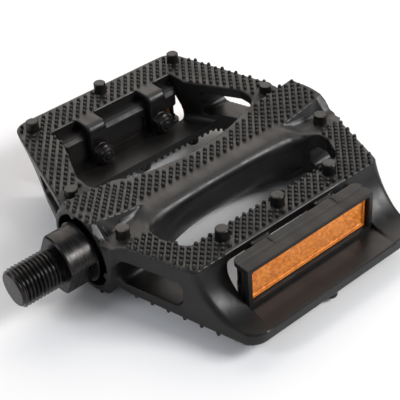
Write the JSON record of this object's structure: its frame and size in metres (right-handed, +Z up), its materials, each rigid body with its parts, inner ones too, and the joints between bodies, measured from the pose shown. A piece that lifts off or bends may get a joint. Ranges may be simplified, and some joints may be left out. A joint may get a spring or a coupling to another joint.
{
  "type": "flat bicycle pedal",
  "caption": "Flat platform bicycle pedal with a moulded studded body turning on ball bearings around a threaded steel spindle, with a bolted reflector in each end.",
  "frame": {"origin": "on the spindle's axis, in the face of the crank shoulder", "axes": "+X along the spindle, away from the crank; +Z up, square to the treads; +Y to the rear, where the upper tread's long half lies"},
  "size_m": [0.1233, 0.12, 0.0268],
  "materials": {
    "moulding": "satin moulded nylon, fine pitted grain",
    "spindle_steel": "black oxide, lightly oiled",
    "bearing_steel": "ground and polished",
    "seal_rubber": "smooth rubber",
    "fastener_steel": "black zinc plate",
    "cap_plastic": "smooth moulded cap",
    "reflector_housing": "smooth moulded plastic",
    "amber_lens": "clear amber acrylic over small prisms"
  },
  "bodies": {
    "spindle": {"spindle": "spindle_steel", "adjusting_cone": "bearing_steel", "lock_washer": "bearing_steel", "lock_nut": "bearing_steel"},
    "platform": {"pedal_body": "moulding", "inboard_cup": "bearing_steel", "outboard_cup": "bearing_steel", "dust_seal": "seal_rubber", "dust_cap": "cap_plastic", "front_reflector_housing": "reflector_housing", "front_reflector_lens": "amber_lens", "front_reflector_screws": "fastener_steel", "front_reflector_washers": "fastener_steel", "front_reflector_nuts": "fastener_steel", "rear_reflector_housing": "reflector_housing", "rear_reflector_lens": "amber_lens", "rear_reflector_screws": "fastener_steel", "rear_reflector_washers": "fastener_steel", "rear_reflector_nuts": "fastener_steel"},
    "inboard_bearing": {"inboard_balls": "bearing_steel"},
    "outboard_bearing": {"outboard_balls": "bearing_steel"}
  },
  "joints": [
    {"name": "pedal_spin", "type": "hinge", "parent": "spindle", "child": "platform", "pos_m": [0, 0, 0], "axis": [1, 0, 0], "continuous": true},
    {"name": "inboard_bearing_spin", "type": "hinge", "parent": "spindle", "child": "inboard_bearing", "pos_m": [0, 0, 0], "axis": [1, 0, 0], "continuous": true},
    {"name": "outboard_bearing_spin", "type": "hinge", "parent": "spindle", "child": "outboard_bearing", "pos_m": [0, 0, 0], "axis": [1, 0, 0], "continuous": true}
  ],
  "couplings": [
    {"joint": "inboard_bearing_spin", "follows": "pedal_spin", "ratio": 0.603},
    {"joint": "outboard_bearing_spin", "follows": "pedal_spin", "ratio": 0.62}
  ]
}
